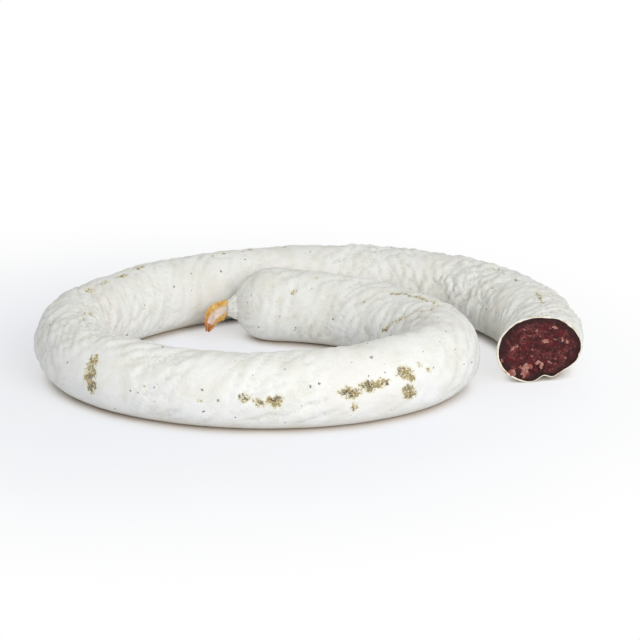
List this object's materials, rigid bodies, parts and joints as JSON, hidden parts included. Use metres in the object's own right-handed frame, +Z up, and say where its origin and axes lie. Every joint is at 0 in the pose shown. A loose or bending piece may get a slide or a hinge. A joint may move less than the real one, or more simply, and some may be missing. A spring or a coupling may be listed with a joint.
{
  "type": "cured sausage",
  "caption": "Long air-dried sausage coated in white mould, coiled flat in a spiral, tied end tucked inside with dried casing, outer end cut across showing coarse dark meat.",
  "frame": {"origin": "centre of the coil's bounding box, on the surface it lies on", "axes": "+Z up from the surface, +X along the coil's longer side with the cut end at +X, the cut faces -Y"},
  "size_m": [0.3046, 0.244, 0.0423],
  "materials": {
    "sausage": "matte",
    "casing_tail": "satin"
  },
  "bodies": {
    "root": {"sausage": "sausage", "casing_tail": "casing_tail"}
  },
  "joints": []
}
